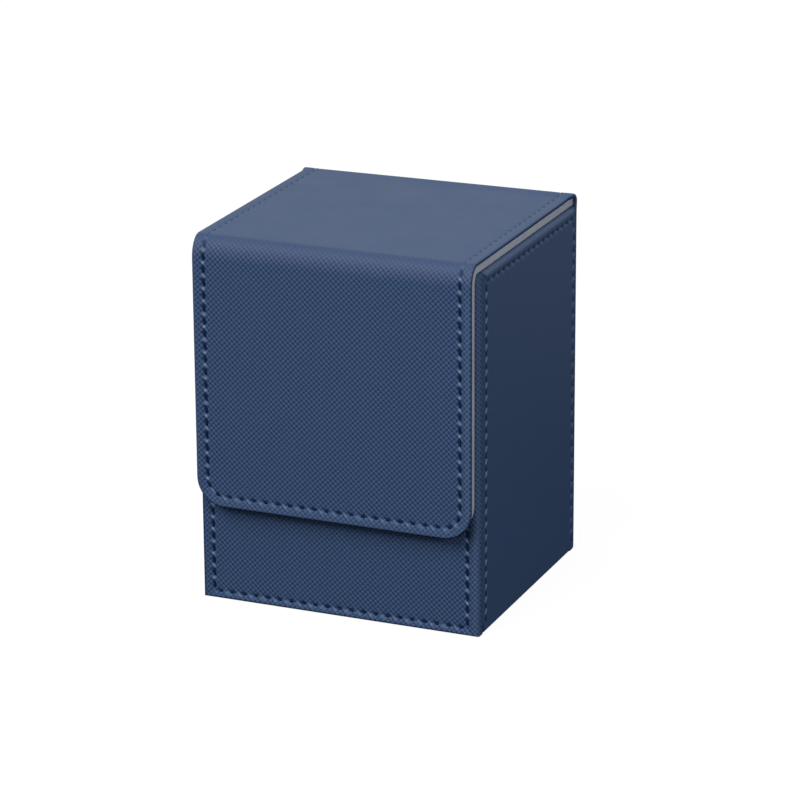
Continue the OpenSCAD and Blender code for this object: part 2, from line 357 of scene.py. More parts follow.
class Stitching:
    """Runs of stitches on a flat panel: where each stitch is, and the relief that it makes."""

    def __init__(self, runs, lean, seed, rubbed_and_sheen=nowhere, rim_highlight=nowhere, wide=1.0, soft=0.0):
        rng = np.random.default_rng(seed)
        lean = np.array(lean, float) / np.linalg.norm(lean)
        self.lean, self.soft, self.rubbed_at, self.rim_highlight = lean, soft, rubbed_and_sheen, rim_highlight
        centres, headings, self.segments = [], [], []
        saddles, saddle_headings = [], []
        for run in runs:
            run = np.array(run, float)
            self.segments += list(zip(run[:-1], run[1:]))
            length = np.concatenate([[0], np.cumsum(np.hypot(*np.diff(run, axis=0).T))])
            count = max(1, round(length[-1] / PITCH))
            for first, places, ways in ((0.5, centres, headings), (1, saddles, saddle_headings)):
                at = np.arange(first, count) / count * length[-1]
                ahead = self.walk(run, length, at + 0.3) - self.walk(run, length, at - 0.3)
                places.append(self.walk(run, length, at))
                ways.append(ahead / np.linalg.norm(ahead, axis=1)[:, None])
        self.centres, heading = np.concatenate(centres), np.concatenate(headings)
        level = np.abs(heading[:, 0])
        self.widths = 1 - 0.15 * level + (wide - 1) * (1 - level)
        # between level stitches the skin is pushed up in long folds, and in dots between others
        self.folded = np.abs(np.concatenate(saddle_headings)[:, 0])
        self.saddles = np.concatenate(saddles) + 0.35 * self.folded[:, None] * lean
        # how strong the painted highlight on each fold or dot is, most on the dots between upright
        # stitches
        self.gleam = 0.7 * self.folded + (1 - self.folded) * (1.3 + 0.4 * wide)
        self.ridge_l = RIDGE_L * (0.6 + 0.75 * self.folded)
        self.ridge_w = RIDGE_W * (1.3 - 0.2 * self.folded) * (1 + (wide - 1) * (1 - self.folded))
        heading = heading + SLANT * (heading @ lean)[:, None] * lean
        turn = np.arctan2(heading[:, 1], heading[:, 0]) + rng.normal(0, 0.035, len(heading))
        self.headings = np.stack([np.cos(turn), np.sin(turn)], 1)
        self.lengths = STITCH_L * (1 + rng.normal(0, 0.03, len(heading)))
        self.lengths *= 1 - 0.44 * level
        self.twists = rng.uniform(0, math.pi, len(heading))
        self.rubbed_and_sheen = rubbed_and_sheen(self.centres)

    @staticmethod
    def walk(run, length, at):
        return np.stack([np.interp(at, length, run[:, i]) for i in (0, 1)], 1)

    def distance(self, points):
        """Distance from each point to the nearest run."""
        nearest = np.full(len(points), 1e9)
        for a, b in self.segments:
            d = b - a
            t = np.clip((points - a) @ d / max(d @ d, 1e-9), 0, 1)
            nearest = np.minimum(nearest, np.hypot(*(points - a - t[:, None] * d).T))
        return nearest

    def relief(self, points, share):
        """Rise in millimetres, and painted highlight and painted shade from 0 to 1, at points of
        the face.
        """
        away = self.distance(points)
        rubbed_and_sheen = self.rubbed_at(points)
        rise = -TRENCH_DEPTH * np.exp(-(away / 0.7) ** 2) * (1 - 0.6 * rubbed_and_sheen)
        swell = np.clip(share, 0, 1)
        crest = np.sin(np.pi * swell ** 0.8) * (share < 1)
        rise += RIM_RISE * crest * (1 - 0.8 * rubbed_and_sheen)
        # a painted highlight along the rim's crest
        outer = np.sin(np.pi * swell ** 0.6) ** 3 * (share < 1)
        painted_highlight = outer * self.rim_highlight(points) * (1 - rubbed_and_sheen)
        shade = np.zeros(len(points))
        near = np.flatnonzero(away < 2.2)
        side = np.stack([-self.headings[:, 1], self.headings[:, 0]], 1)
        across = np.array([-self.lean[1], self.lean[0]])
        for chunk in np.array_split(near, max(1, len(near) // 4000)):
            offset = points[chunk][:, None] - self.centres[None]
            x = (offset * self.headings).sum(2) / (self.lengths / 2)
            y = (offset * side).sum(2) / (0.23 + 0.23 * self.widths)
            pocket = (np.exp(-(np.hypot(x, y) ** 4)) * (1 - 0.88 * self.rubbed_and_sheen)).max(1)
            pocket *= 1 - self.soft
            rise[chunk] -= POCKET_DEPTH * pocket
            # painted shade in each pocket
            shade[chunk] = pocket ** 2 * (1 - rubbed_and_sheen[chunk])
            offset = points[chunk][:, None] - self.saddles[None]
            ridge = np.exp(-(offset @ self.lean / self.ridge_l) ** 2
                           - (offset @ across / self.ridge_w) ** 2)
            # a painted highlight on each ridge between stitches
            bright = (ridge ** 1.5 * self.gleam).max(1) * (1 - rubbed_and_sheen[chunk])
            ridge = ridge.max(1) * (1 - rubbed_and_sheen[chunk])
            rise[chunk] += RIDGE_RISE * ridge
            painted_highlight[chunk] = np.maximum(painted_highlight[chunk], bright)
            shade[chunk] *= 1 - ridge
        return rise, painted_highlight, shade

    def only(self, keep):
        """A copy with the stitches whose places along V are kept."""
        part, kept = copy.copy(self), keep(self.centres[:, 1])
        for key in ("centres", "headings", "lengths", "widths", "twists", "rubbed_and_sheen"):
            setattr(part, key, getattr(self, key)[kept])
        return part

    def thread(self, name, place):
        """One short length of twisted thread in each pocket, going down at both ends."""
        around, along = THREAD_AROUND, THREAD_ALONG
        points, faces = [], []
        twist = np.linspace(-1, 1, along)
        # how much paler each thread is: a painted sheen on the lid's top, and paler on the side
        # walls
        rubbed_and_sheen = np.repeat(np.maximum(self.rubbed_and_sheen, self.soft), around * along)
        for centre, heading, length, width, phase in zip(
                self.centres, self.headings, self.lengths, self.widths, self.twists):
            side = np.array([-heading[1], heading[0]])
            base = len(points)
            for t in twist:
                drop = -0.2 - 0.42 * abs(t) ** 3.5
                r = THREAD_R * (0.6 + 0.4 * width) * (1 - 0.35 * abs(t) ** 6)
                middle = centre + heading * t * length / 2 * 1.04
                for k in range(around):
                    a = 2 * math.pi * k / around
                    ply = r * (1 + 0.13 * math.cos(2 * (a - 4.2 * t + phase)))
                    uv = middle + side * ply * math.cos(a)
                    points.append((uv[0], uv[1], drop + ply * math.sin(a)))
            for i in range(along - 1):
                for k in range(around):
                    m = (k + 1) % around
                    a, b = base + i * around, base + (i + 1) * around
                    faces.append((a + k, a + m, b + m, b + k))
            faces.append(tuple(base + k for k in range(around)))
            faces.append(tuple(base + (along - 1) * around + k for k in reversed(range(around))))
        points = np.array(points)
        placed = place(points[:, :2], points[:, 2])
        return build_mesh(name, placed, faces, {"rubbed_and_sheen": rubbed_and_sheen}, sharp_angle=85)


# ---- the one-piece sheet's path ----

class SheetPath:
    """The outer face of the sheet, seen from the side: up the back, over the lid and down the
    front. v runs along it from the lower end of the back."""

    def __init__(self):
        self.marks = []                       # v, point, ahead, outward, and the bend's table
        point, angle, v = np.array([INSIDE_HIGH[1] + 0.5, 0.0]), 0.0, 0.0
        moves = [("line", BACK_Y - BOTTOM_R - point[0]), ("bend", BOTTOM_R, BOTTOM_R),
                 ("line", TOP_Z - HINGE_R - BOTTOM_R), ("bend", HINGE_R, HINGE_R),
                 ("line", BACK_Y - HINGE_R - FLAP_Y - FOLD_REACH),
                 ("bend", FOLD_REACH, FOLD_DROP), ("line", TOP_Z - FOLD_DROP - FLAP_Z)]
        for kind, *size in moves:
            ahead = np.array([math.cos(angle), math.sin(angle)])
            outward = np.array([math.sin(angle), -math.cos(angle)])
            if kind == "line":
                self.marks.append((v, point, ahead, outward, None))
                point, v = point + size[0] * ahead, v + size[0]
            else:
                reach, drop = size
                turn = np.linspace(0, math.pi / 2, 121)
                step = np.hypot(reach * np.diff(np.sin(turn)), drop * np.diff(np.cos(turn)))
                table = (reach, drop, turn, np.concatenate([[0], np.cumsum(step)]))
                self.marks.append((v, point, ahead, outward, table))
                point = point + reach * ahead - drop * outward
                angle, v = angle + math.pi / 2, v + table[3][-1]
        self.end = v
        starts = [m[0] for m in self.marks] + [v]
        self.bottom_bend, self.hinge, self.fold = starts[1:3], starts[3:5], starts[5:7]
        self.back_zero = starts[2] - BOTTOM_R     # v at height 0 on the back, if it ran straight

    def on_lid(self, y):
        return self.hinge[1] + (BACK_Y - HINGE_R - y)

    def at(self, v, w):
        """Y and Z for distances along the path and heights above it."""
        out = np.zeros((len(v), 2))
        starts = np.array([m[0] for m in self.marks])
        which = np.clip(np.searchsorted(starts, v, "right") - 1, 0, len(starts) - 1)
        for i, (v0, point, ahead, outward, table) in enumerate(self.marks):
            on = which == i
            s, rise = (v[on] - v0)[:, None], w[on][:, None]
            if table is None:
                out[on] = point + s * ahead + rise * outward
                continue
            reach, drop, turn, length = table
            a = np.interp(s, length, turn)
            normal = np.sin(a) / reach * ahead + np.cos(a) / drop * outward
            normal /= np.linalg.norm(normal, axis=1)[:, None]
            out[on] = (point + reach * np.sin(a) * ahead - drop * (1 - np.cos(a)) * outward
                       + rise * normal)
        return out


PATH = SheetPath()
SHEET_SEAM = PATH.on_lid(SHEET_SEAM_Y)


def smooth(t):
    """An even step from 0 to 1."""
    t = np.clip(t, 0, 1)
    return t * t * (3 - 2 * t)


def place_on_path(flat, depth):
    """The sheet is a little wider down the back, to cover the side walls' rear edges."""
    yz = PATH.at(flat[:, 1], depth)
    widen = smooth((PATH.hinge[1] + 3.5 - flat[:, 1]) / 4) * (HALF_W - LID_HALF_W)
    rim = np.clip((np.abs(flat[:, 0]) - LID_HALF_W + 2.2) / 2.2, 0, 1)
    x = flat[:, 0] + np.sign(flat[:, 0]) * widen * rim
    return np.column_stack([x, yz])


def place_sheet(flat, depth):
    """The sheet is thinner along the lid and the flap than it is down the back, and it swells a
    little over the hinge, more so at the right."""
    past_hinge = flat[:, 1] - PATH.hinge[1]
    lid = smooth(past_hinge / 4)
    thin = 1 - lid * (SHEET_T - SKIN_T) / (SHEET_T - EDGE_KEPT)
    swell = HINGE_SWELL * np.exp(-((past_hinge + 0.6) / HINGE_SWELL_W) ** 2)
    swell *= 1 + 0.9 * flat[:, 0] / LID_HALF_W
    skived = (depth + EDGE_KEPT) * thin - EDGE_KEPT
    return place_on_path(flat, swell + np.where(depth < -EDGE_KEPT, skived, depth))


def place_front(flat, depth):
    return np.column_stack([flat[:, 0], FRONT_LOW[1] - depth, flat[:, 1]])


def place_right(flat, depth):
    return np.column_stack([HALF_W + depth, flat])


def place_left(flat, depth):
    return np.column_stack([-HALF_W - depth, flat])


def place_base(flat, depth):
    return np.column_stack([flat[:, 0], flat[:, 1], -depth])


# ---- materials ----

class Nodes:
    """Short calls for a node tree."""

    def __init__(self, owner):
        owner.use_nodes = True
        self.tree = owner.node_tree

    def put(self, target, value):
        if isinstance(value, bpy.types.NodeSocket):
            self.tree.links.new(value, target)
        elif value is not None:
            target.default_value = value

    def new(self, kind, inputs=None, **settings):
        node = self.tree.nodes.new("ShaderNode" + kind)
        for key, value in settings.items():
            setattr(node, key, value)
        for key, value in (inputs or {}).items():
            self.put(node.inputs[key], value)
        return node

    def math(self, operation, a, b=None, c=None, clamp=False):
        node = self.new("Math", operation=operation, use_clamp=clamp)
        for socket, value in zip(node.inputs, (a, b, c)):
            self.put(socket, value)
        return node.outputs[0]

    def attribute(self, name, output="Fac"):
        return self.new("Attribute", attribute_name=name).outputs[output]

    def dot(self, vector, direction):
        node = self.new("VectorMath", {0: vector, 1: direction}, operation="DOT_PRODUCT")
        return node.outputs["Value"]

    def noise(self, vector, scale, detail=3.0, roughness=0.5):
        return self.new("TexNoise", {"Vector": vector, "Scale": scale, "Detail": detail,
                                     "Roughness": roughness}).outputs["Fac"]

    def span(self, value, low, high, to_low, to_high):
        return self.new("MapRange", {"Value": value, "From Min": low, "From Max": high,
                                     "To Min": to_low, "To Max": to_high}).outputs["Result"]

    def mix(self, share, a, b, blend="MIX"):
        node = self.new("Mix", data_type="RGBA", blend_type=blend, clamp_factor=True)
        self.put(node.inputs[0], share)
        self.put(node.inputs[6], a)
        self.put(node.inputs[7], b)
        return node.outputs[2]


class Finish(Nodes):
    """The node tree of one material."""

    def __init__(self, name):
        self.material = bpy.data.materials.new(name)
        super().__init__(self.material)
        self.shader = self.tree.nodes["Principled BSDF"]

    def made(self, color, roughness, height=None, **settings):
        """The material, with a bump of that height in millimetres."""
        settings.update(Base_Color=color, Roughness=roughness)
        if height is not None:
            bump = self.new("Bump", {"Height": height, "Distance": MM, "Strength": 1.0})
            settings["Normal"] = bump.outputs[0]
        for key, value in settings.items():
            self.put(self.shader.inputs[key.replace("_", " ")], value)
        return self.material


def rgb(r, g, b):
    return (r, g, b, 1.0)


def leatherette(name, color, deep, worn_and_lit, glint, whitest_glint, stretched, dark_paint_and_shade):
    """Embossed leatherette, with painted shade in the cross-hatch's pits and a painted highlight
    on its ridges. Its attributes say where the cross-hatch is pressed in, where a painted
    highlight lies on the rims and on the skin pulled up between stitches (whitest beyond 1), where
    an edge is painted dark or a painted shade lies, and where a painted sheen lies on the fold."""
    n = Finish(name)
    flat = n.attribute("flat", "Vector")
    k = 2 * math.pi / (HATCH_PITCH * MM) / math.sqrt(2)
    ridge = [n.math("SINE", n.dot(flat, (k, sign * k, 0))) for sign in (1, -1)]
    hatch = n.math("MULTIPLY", n.math("ADD", *ridge), 0.5)
    pressed = n.attribute("emboss")
    hatch_here = n.math("MULTIPLY", hatch, pressed)
    grain = n.noise(flat, 2600, 4, 0.6)
    cloud = n.noise(flat, 70, 3, 0.55)
    # painted sheen on the fold, where the bend catches the light
    tone = n.mix(n.attribute("stretch"), color, stretched)
    # painted shade in the cross-hatch's pits and a painted highlight on its ridges
    tone = n.mix(n.span(hatch_here, -1, 0.1, 0.92, 0.0), tone, deep)
    tone = n.mix(n.span(hatch_here, 0.1, 1, 0.0, 0.46), tone, worn_and_lit)
    tone = n.mix(n.span(cloud, 0.3, 0.7, 0.0, 0.03), tone, worn_and_lit)
    tone = n.mix(n.span(grain, 0.35, 0.65, 0.08, 0.0), tone, deep)
    # painted highlights on the rims and between stitches, whitest where the attribute goes beyond
    # 1
    painted_highlight = n.attribute("painted_highlight")
    tone = n.mix(n.math("MULTIPLY", painted_highlight, 0.9, clamp=True), tone, glint)
    tone = n.mix(n.math("SUBTRACT", painted_highlight, 1.0, clamp=True), tone, whitest_glint)
    # painted edges, painted shade in the stitch pockets and the painted shadow under the flap, all
    # in one dark colour
    dark = n.math("MAXIMUM", n.attribute("edge"), n.attribute("shade"))
    tone = n.mix(n.math("MULTIPLY", dark, 0.88), tone, dark_paint_and_shade)
    rough = n.math("ADD", n.span(cloud, 0.3, 0.7, 0.53, 0.58), n.math("MULTIPLY", painted_highlight, -0.12))
    rough = n.math("SUBTRACT", rough, n.math("MULTIPLY", hatch_here, 0.05))
    rough = n.math("ADD", rough, n.span(pressed, 0, 1, -0.10, 0))
    rough = n.math("MULTIPLY_ADD", dark, 0.3, rough)
    height = n.math("MULTIPLY_ADD", hatch_here, 0.075, n.math("MULTIPLY", grain, 0.020))
    return n.made(tone, rough, height, Specular_IOR_Level=0.12)


def microfibre(name, color, deep):
    """Brushed lining: a short nap that lies in soft, uneven streaks."""
    n = Finish(name)
    place = n.new("TexCoord").outputs["Object"]
    nap = n.noise(place, 3200, 4, 0.65)
    streak = n.noise(n.new("Mapping", {"Vector": place, "Scale": (1, 1, 0.25)}).outputs[0],
                     420, 4, 0.6)
    cloud = n.noise(place, 60, 2)
    tone = n.mix(n.span(nap, 0.3, 0.7, 0.55, 0.0), color, deep)
    tone = n.mix(n.span(streak, 0.35, 0.65, 0.0, 0.35), tone, deep)
    tone = n.mix(n.span(cloud, 0.35, 0.65, 0.0, 0.25), tone, deep)
    height = n.math("MULTIPLY_ADD", nap, 0.09, n.math("MULTIPLY", streak, 0.05))
    return n.made(tone, n.span(streak, 0.3, 0.7, 0.86, 0.96), height,
                    Sheen_Weight=0.35, Sheen_Roughness=0.4, Specular_IOR_Level=0.2)


def sewing_thread(name, color, deep, rubbed_and_sheen):
    """Fine fibres, paler where hands rub the thread and a painted sheen lies on it, as on the
    lid's top.
    """
    n = Finish(name)
    place = n.new("TexCoord").outputs["Object"]
    fibre = n.noise(place, 6000, 3, 0.7)
    tone = n.mix(n.span(fibre, 0.3, 0.7, 0.6, 0.0), color, deep)
    # painted sheen: paler where the lid's top shines
    tone = n.mix(n.attribute("rubbed_and_sheen"), tone, rubbed_and_sheen)
    return n.made(tone, n.span(fibre, 0.3, 0.7, 0.6, 0.75), n.math("MULTIPLY", fibre, 0.03),
                    Specular_IOR_Level=0.04)


def greyboard_paper(name):
    """Grey board with long fibres."""
    n = Finish(name)
    place = n.new("TexCoord").outputs["Object"]
    fibre = n.noise(n.new("Mapping", {"Vector": place, "Scale": (1, 0.3, 1)}).outputs[0],
                    1500, 5, 0.7)
    tone = n.mix(n.span(fibre, 0.3, 0.7, 0, 1), rgb(0.235, 0.245, 0.275), rgb(0.32, 0.335, 0.375))
    return n.made(tone, n.span(fibre, 0.3, 0.7, 0.85, 0.95), n.math("MULTIPLY", fibre, 0.04))


def nickel_plate(name):
    """Hazy plating of a magnet."""
    n = Finish(name)
    place = n.new("TexCoord").outputs["Object"]
    haze = n.noise(place, 700, 4, 0.6)
    tone = n.mix(n.span(haze, 0.3, 0.7, 0, 1), rgb(0.60, 0.59, 0.57), rgb(0.68, 0.67, 0.66))
    return n.made(tone, n.span(haze, 0.3, 0.7, 0.20, 0.34), n.math("MULTIPLY", haze, 0.004),
                    Metallic=1.0)


# among these colours: painted highlights on the hatch ridges, rims and stitches, a painted sheen
# on the fold, and one dark colour for painted edges, painted shade and painted shadow
NAVY = leatherette("navy_leatherette", color=rgb(0.030, 0.059, 0.128),
                   deep=rgb(0.007, 0.018, 0.050), worn_and_lit=rgb(0.060, 0.092, 0.166),
                   glint=rgb(0.099, 0.149, 0.262), whitest_glint=rgb(0.200, 0.218, 0.258),
                   stretched=rgb(0.036, 0.059, 0.119), dark_paint_and_shade=rgb(0.004, 0.017, 0.060))
LINING = microfibre("grey_microfibre", color=rgb(0.295, 0.325, 0.395),
                    deep=rgb(0.17, 0.187, 0.228))
THREAD = sewing_thread("navy_thread", color=rgb(0.004, 0.014, 0.048),
                       deep=rgb(0.003, 0.010, 0.034), rubbed_and_sheen=rgb(0.040, 0.066, 0.125))
BOARD = greyboard_paper("greyboard_paper")
NICKEL = nickel_plate("nickel_plate")


def give(piece, material):
    piece.data.materials.clear()
    piece.data.materials.append(material)


# ---- leatherette pieces ----

def leather_looks(emboss, dark_edge=nowhere, stretch=nowhere):
    """Attributes of a leatherette piece: the cross-hatch's strength, where its edge is painted
    dark or a painted shade lies, and where a painted sheen makes the fold paler."""
    def looks(flat, level):
        pressed = emboss(flat) if callable(emboss) else np.full(len(flat), float(emboss))
        return {"emboss": pressed, "stretch": stretch(flat), "edge": dark_edge(flat, level)}
    return looks


def painted(level, start, over):
    """1 deep down the edge, fading to 0 on the way up to the level start."""
    return np.clip((start - level) / over, 0, 1)


def on_lid_top(flat):
    """1 on the lid's flat top, where hands rub the sheet and its threads get a painted sheen, and
    0 round both bends.
    """
    v = flat[:, 1]
    return (np.clip((v - PATH.hinge[0] + 1) / 3, 0, 1)
            * np.clip((PATH.fold[1] - 1.5 - v) / 5.5, 0, 1))


def sheet_emboss(flat):
    """The hatch is nearly flat on the lid, flattened by use, and crisp on the flap."""
    return 1.0 - 0.88 * on_lid_top(flat)


def sheet_dark_edge(flat, level):
    """The edge is painted dark along the lid and the flap. At the flap's lower side the dark goes
    over the rounding too, as painted shadow: the dark band under the flap. At its left side the
    dark goes over the rounding as well."""
    v = flat[:, 1]
    low = np.clip((v - PATH.end + FLAP_CORNER_R * 0.6) / 2, 0, 1)
    dark_over_rounding = np.maximum(low, flat[:, 0] < 0) * np.clip((v - PATH.fold[1]) / 4, 0, 1)
    start = -0.16 + 0.15 * dark_over_rounding
    return (np.clip((v - PATH.hinge[1] + 1) / 2, 0, 1)
            * painted(level, start, 0.12 - 0.09 * dark_over_rounding))


# painted sheen across the fold, fading out at its ends
def sheet_fold_sheen(flat):
    middle, half = (PATH.fold[0] + PATH.fold[1]) / 2, (PATH.fold[1] - PATH.fold[0]) / 2
    return 1 - np.clip((np.abs(flat[:, 1] - middle + 0.8) - half * 0.75) / 1.8, 0, 1)


SHEET_LOOKS = leather_looks(sheet_emboss, sheet_dark_edge, sheet_fold_sheen)


def mirrored(run):
    return [(-u, v) for u, v in reversed(run)]


def sheet_stitching():
    """Both side runs go from the back's lower end over lid and flap, and meet under the flap."""
    side = LID_HALF_W - SHEET_MARGIN
    low = PATH.back_zero + BASE_MARGIN
    corner = PATH.end - FLAP_CORNER_R
    r = FLAP_CORNER_R - SHEET_MARGIN
    x = LID_HALF_W - FLAP_CORNER_R
    over = [(side, low), (side, corner), *arc_points((x, corner), r, 0, 90)[1:]]
    return [over + mirrored(over), [(-side, low), (side, low)]]


def seam_profile(profile):
    """A copy of a side's rows with no inset: the side where another piece carries on."""
    flush = profile.copy()
    flush[:, [0, 2]] = 0
    return flush


SHEET_EDGE = edge_profile(SHEET_T, 0.42, 0.2, SHEET_MARGIN)
SHEET_OPEN = seam_profile(SHEET_EDGE)
SHEET_LOW_EDGE = edge_profile(SHEET_T, 0.75, 0.2, SHEET_MARGIN)


def sheet_rim_highlight(flat):
    """A painted highlight along the sheet's rims, stronger on the flap's lower and right edges."""
    on_flap = np.clip((flat[:, 1] - PATH.fold[1]) / 4, 0, 1)
    low, right = flat[:, 1] > PATH.end - SHEET_MARGIN - 1, flat[:, 0] > 0
    return 0.06 + on_flap * np.where(low | right, 0.15, 0.0)


sheet_seams = Stitching(sheet_stitching(), (1, 1), seed=7, rubbed_and_sheen=on_lid_top,
                        rim_highlight=sheet_rim_highlight)
HINGE_FLEX = (PATH.hinge[0] - 3.5, PATH.hinge[1] + 4.0)
FOLD_FLEX = (PATH.fold[0] - 1.5, PATH.fold[1] + 1.5)

back_ring = Ring((-LID_HALF_W, 0), (LID_HALF_W, SHEET_SEAM), open_side=2)
sheet_back = panel("sheet_back", back_ring, [SHEET_EDGE, SHEET_EDGE, SHEET_OPEN, SHEET_EDGE],
                   place_sheet, sheet_seams.relief, SHEET_LOOKS,
                   fine=(PATH.bottom_bend, HINGE_FLEX))
front_ring = Ring((-LID_HALF_W, SHEET_SEAM), (LID_HALF_W, PATH.end),
                  radii=(0, FLAP_CORNER_R, FLAP_CORNER_R, 0), open_side=0)
sheet_front = panel("sheet_front", front_ring,
                    [SHEET_OPEN, SHEET_EDGE, SHEET_LOW_EDGE, SHEET_EDGE], place_sheet,
                    sheet_seams.relief, SHEET_LOOKS, fine=(FOLD_FLEX,))

# the front wall, wrapped on all four edges, with a lip inside the rim
LIP_RECESS = FRONT_HIGH[1] - FRONT_LINING_LOW[1]
RIM_LIP = FRONT_HIGH[2] - FRONT_LINING_HIGH[2]
BASE_LIP = INSIDE_LOW[2]


def wall_edge(face_r, back_r, margin, lip=0.0, flush=False):
    return edge_profile(WALL_T, face_r, back_r, margin, lip or 2.0, LIP_RECESS, flush)


front_side, front_top = HALF_W - FRONT_MARGIN, FRONT_HIGH[2] - WALL_MARGIN
# a painted highlight along the rims, stronger near the right corner
front_seams = Stitching([[(x, BASE_MARGIN), (x, front_top)] for x in (-front_side, front_side)]
                        + [[(-front_side, z), (front_side, z)] for z in (BASE_MARGIN, front_top)],
                        (1, -1), seed=11,
                        rim_highlight=lambda flat: np.where(flat[:, 0] > HALF_W - 4, 0.22, 0.06))
wall_ring = Ring((-HALF_W, 0), (HALF_W, FRONT_HIGH[2]), radii=(0.3,) * 4)
front_edges = [wall_edge(0.8, 0.5, BASE_MARGIN, BASE_LIP),
               wall_edge(1.6, 1.0, FRONT_MARGIN, WALL_T),
               wall_edge(1.45, 1.2, WALL_MARGIN, RIM_LIP),
               wall_edge(1.6, 1.0, FRONT_MARGIN, WALL_T)]


def front_dark_edge(flat, level):
    """Darker up the left corner, and along the base as far as the right corner."""
    left = painted(level, -0.10, 0.12) * (flat[:, 0] < -HALF_W + 1.7)
    base = painted(level, -0.02, 0.1) * (flat[:, 1] < BASE_MARGIN)
    return np.maximum(left, base * (flat[:, 0] < HALF_W - 2))


# darker along the base
def side_dark_edge(flat, level):
    return painted(level, -0.02, 0.1) * (flat[:, 1] < BASE_MARGIN)


front_panel = panel("front_panel", wall_ring, front_edges, place_front, front_seams.relief,
                    leather_looks(1.0, front_dark_edge))

# the side walls, drawn on the right with U along Y
rear_margin = BASE_MARGIN - SHEET_T
side_low, side_high = (WALL_LOW[1], 0), (WALL_HIGH[1], WALL_HIGH[2])
front_run, rear_run = side_low[0] + CORNER_MARGIN, side_high[0] - rear_margin
rim_run = side_high[1] - WALL_MARGIN
side_ring = Ring(side_low, side_high, radii=(0.3,) * 4)
side_edges = [wall_edge(0.7, 0.5, BASE_MARGIN, BASE_LIP),
              wall_edge(0.5, 0.4, rear_margin, flush=True),
              wall_edge(1.6, 1.5, WALL_MARGIN, RIM_LIP),
              wall_edge(0.8, 0.4, CORNER_MARGIN, flush=True)]


def make_side(name, place, seed):
    # a painted highlight along the top rim
    seams = Stitching([[(front_run, BASE_MARGIN), (front_run, rim_run)],
                       [(rear_run, BASE_MARGIN), (rear_run, rim_run)],
                       [(front_run, rim_run), (rear_run, rim_run)]], (1, -1), seed,
                      rubbed_and_sheen=lambda flat: 0.7 * (flat[:, 0] > rear_run - 1),
                      rim_highlight=lambda flat: np.where(flat[:, 1] > rim_run, 0.28, 0.05),
                      wide=2.6, soft=0.3)

    def relief(points, share):
        """No stitching along the base, so no bulge there either."""
        low = np.clip((points[:, 1] - BASE_MARGIN) / 2, 0, 1)
        return seams.relief(points, np.where(low < 1, 9.0, share))

    wall = panel(name + "_panel", side_ring, side_edges, place, relief,
                 leather_looks(0.15, side_dark_edge))
    return wall, seams.thread(name + "_thread", place)


right_panel, right_thread = make_side("right", place_right, seed=21)
left_panel, left_thread = make_side("left", place_left, seed=22)

base_ring = Ring(INSIDE_LOW[:2], INSIDE_HIGH[:2], radii=(0.5,) * 4, step=0.8)
base_edge = edge_profile(SHEET_T, 0.35, 0.1, 2.0, 2.0)
base_panel = panel("base_panel", base_ring, [base_edge] * 4, place_base, None,
                   leather_looks(1.0))

# ---- threads ----

front_thread = front_seams.thread("front_thread", place_front)
back_thread = sheet_seams.only(lambda v: v < SHEET_SEAM).thread("back_thread", place_sheet)
flap_thread = sheet_seams.only(lambda v: v >= SHEET_SEAM).thread("flap_thread", place_sheet)

# ---- linings ----

def lining_edge(thick, radius):
    return edge_profile(thick, radius, radius, max(2.0, radius * 2), 2.5)


def place_under_sheet(flat, depth):
    return place_on_path(flat, depth - SKIN_T)


slab_t = LID_T - SKIN_T + 0.35          # it hides the board inside it from below
slab_edge = lining_edge(slab_t, 0.4)
slab_open = seam_profile(slab_edge)
slab_half_w, slab_corner_r = LID_HALF_W - LINING_INSET, FLAP_CORNER_R + 0.8
slab_ring = Ring((-slab_half_w, PATH.on_lid(LINING_SEAM_Y)), (slab_half_w, PATH.end - 0.6),
                 radii=(0, slab_corner_r, slab_corner_r, 0), open_side=0, step=0.6)
lid_flap_lining = panel("lid_flap_lining", slab_ring,
                        [slab_open, slab_edge, slab_edge, slab_edge], place_under_sheet,
                        fine=(FOLD_FLEX,))

strip_ring = Ring((-slab_half_w, LINING_SEAM_Y), (slab_half_w, BACK_Y - SHEET_T - LINING_INSET),
                  open_side=0, step=0.6)


def place_strip(flat, depth):
    return np.column_stack([flat, TOP_Z - SKIN_T + depth])


hinge_strip = panel("hinge_strip", strip_ring,
                    [slab_open, slab_edge, lining_edge(slab_t, 0.8), slab_edge], place_strip,
                    fine=((30.0, 35.8),))


def pad(name, low, high, place):
    """A lining glued to a board: flat, with a soft edge."""
    ring = Ring(low, high, radii=(0.5,) * 4, step=0.9)
    return panel(name, ring, [lining_edge(PAD_T, 0.2)] * 4, place)


def place_inside(axis, at, way):
    """Places flat points across one axis; depths above the lining's face go along it."""
    return lambda flat, depth: np.insert(flat, axis, at + way * depth, axis=1)


PAD_T = LIP_RECESS
front_pad = pad("front_pad", (INSIDE_LOW[0], FRONT_LINING_LOW[2]),
                (INSIDE_HIGH[0], FRONT_LINING_HIGH[2]), place_inside(1, INSIDE_LOW[1], 1))
back_pad = pad("back_pad", (INSIDE_LOW[0], BACK_LINING_LOW[2]),
               (INSIDE_HIGH[0], BACK_LINING_HIGH[2]), place_inside(1, INSIDE_HIGH[1], -1))
right_pad, left_pad = [
    pad(name, (INSIDE_LOW[1], BASE_LIP), (INSIDE_HIGH[1], FRONT_LINING_HIGH[2]),
        place_inside(0, side * INSIDE_HIGH[0], -side))
    for name, side in (("right_pad", 1), ("left_pad", -1))]
base_pad = pad("base_pad", INSIDE_LOW[:2], INSIDE_HIGH[:2], place_inside(2, INSIDE_HIGH[2], 1))

